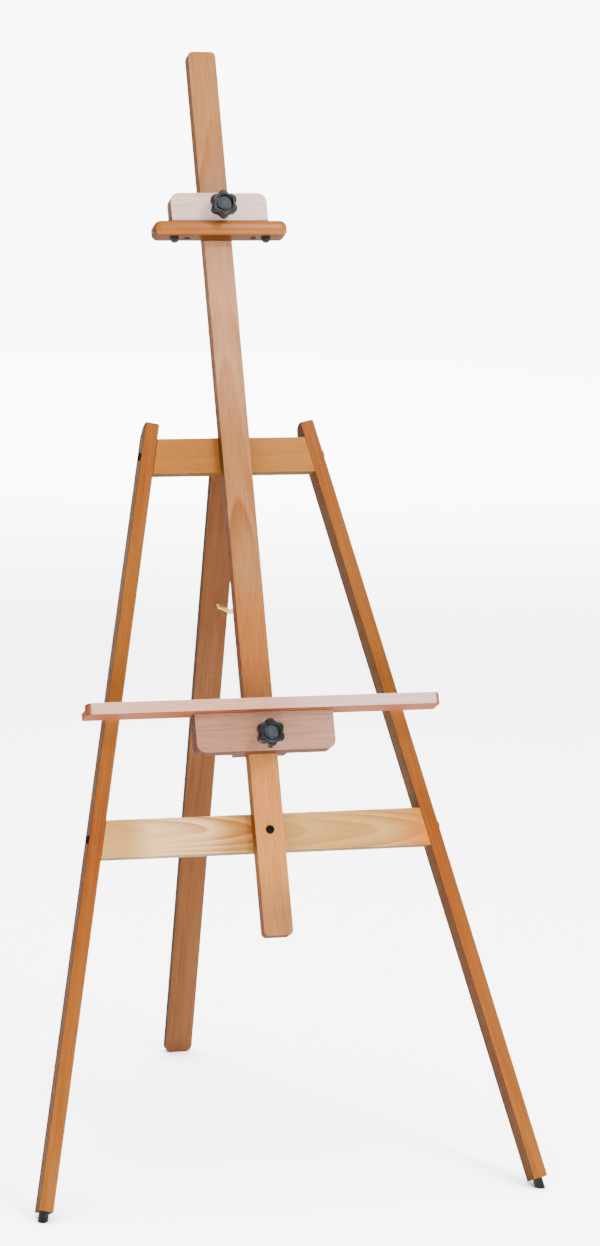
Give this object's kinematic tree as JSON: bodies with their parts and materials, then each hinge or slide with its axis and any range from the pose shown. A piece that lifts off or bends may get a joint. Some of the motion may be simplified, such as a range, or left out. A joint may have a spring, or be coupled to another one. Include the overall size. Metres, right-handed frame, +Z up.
{
  "type": "studio easel",
  "caption": "Wooden studio easel with splayed front legs, a hinged rear leg held by a chain, a sliding canvas tray and a sliding top clamp with star knobs.",
  "frame": {"origin": "bottom centre of the whole easel's box, on the floor", "axes": "+X to the right seen from the front, +Y towards the rear leg, +Z up"},
  "size_m": [0.7766, 0.7876, 1.6532],
  "materials": {
    "beech_frame": "satin varnish",
    "beech_mast": "satin varnish",
    "beech_clamp": "satin varnish",
    "black_plastic": "moulded",
    "grey_cap": "smooth",
    "black_rubber": "matt",
    "black_steel": "black oxide",
    "steel": "zinc plated",
    "brass": "polished"
  },
  "bodies": {
    "front_frame": {"left_leg": "beech_frame", "right_leg": "beech_frame", "lower_crossbar": "beech_frame", "upper_crossbar": "beech_frame", "mast": "beech_mast", "mast_bolt": "black_steel", "mast_bolt_washer": "steel", "mast_bolt_nut": "steel", "mast_screws": "steel", "connector_bolts": "black_steel", "barrel_nuts": "steel", "alignment_dowels": "beech_frame", "hinge_fixed_leaf": "steel", "hinge_fixed_screws": "steel", "hinge_pin": "steel", "mast_eye": "brass", "left_foot": "black_rubber", "right_foot": "black_rubber"},
    "rear_leg": {"rear_leg": "beech_frame", "hinge_moving_leaf": "steel", "hinge_moving_screws": "steel", "rear_leg_eye": "brass"},
    "chain_front": {"chain_front_half": "brass"},
    "chain_rear": {"chain_rear_half": "brass"},
    "tray_carriage": {"canvas_tray": "beech_clamp", "tray_front_plate": "beech_clamp", "tray_guide_blocks": "beech_clamp", "tray_back_strips": "beech_clamp", "tray_guide_screws": "steel", "tray_screws": "black_steel", "tray_insert": "brass"},
    "tray_knob": {"tray_knob": "black_plastic", "tray_knob_cap": "grey_cap", "tray_stud": "steel", "tray_pressure_pad": "black_plastic"},
    "top_clamp": {"top_ledge": "beech_clamp", "top_front_plate": "beech_clamp", "top_guide_blocks": "beech_clamp", "top_back_strips": "beech_clamp", "top_guide_screws": "steel", "ledge_screws": "black_steel", "ledge_bumpers": "black_rubber", "top_insert": "brass"},
    "top_knob": {"top_knob": "black_plastic", "top_knob_cap": "grey_cap", "top_stud": "steel", "top_pressure_pad": "black_plastic"}
  },
  "joints": [
    {"name": "rear_leg_fold", "type": "hinge", "parent": "front_frame", "child": "rear_leg", "pos_m": [0, 0.11968, 1.06802], "axis": [1, 0, 0], "range_deg": [-38.5, 0]},
    {"name": "chain_front_swing", "type": "hinge", "parent": "front_frame", "child": "chain_front", "pos_m": [0, -0.00303, 0.83174], "axis": [1, 0, 0], "range_deg": [-95.63, 0]},
    {"name": "chain_rear_swing", "type": "hinge", "parent": "rear_leg", "child": "chain_rear", "pos_m": [0, 0.17663, 0.79374], "axis": [1, 0, 0], "range_deg": [0, 108.44]},
    {"name": "tray_slide", "type": "slide", "parent": "front_frame", "child": "tray_carriage", "axis": [0, 0.4226, 0.9063], "range_m": [-0.088, 0.385]},
    {"name": "tray_knob_turn", "type": "hinge", "parent": "tray_carriage", "child": "tray_knob", "pos_m": [0, -0.18228, 0.67082], "axis": [0, -0.9063, 0.4226], "range_deg": [0, 720]},
    {"name": "top_slide", "type": "slide", "parent": "front_frame", "child": "top_clamp", "axis": [0, 0.4226, 0.9063], "range_m": [-0.335, 0.24]},
    {"name": "top_knob_turn", "type": "hinge", "parent": "top_clamp", "child": "top_knob", "pos_m": [0, 0.17188, 1.43031], "axis": [0, -0.9063, 0.4226], "range_deg": [0, 720]}
  ],
  "couplings": [
    {"joint": "chain_front_swing", "follows": "rear_leg_fold", "ratio": 2.4827},
    {"joint": "chain_rear_swing", "follows": "rear_leg_fold", "ratio": -2.8154}
  ]
}
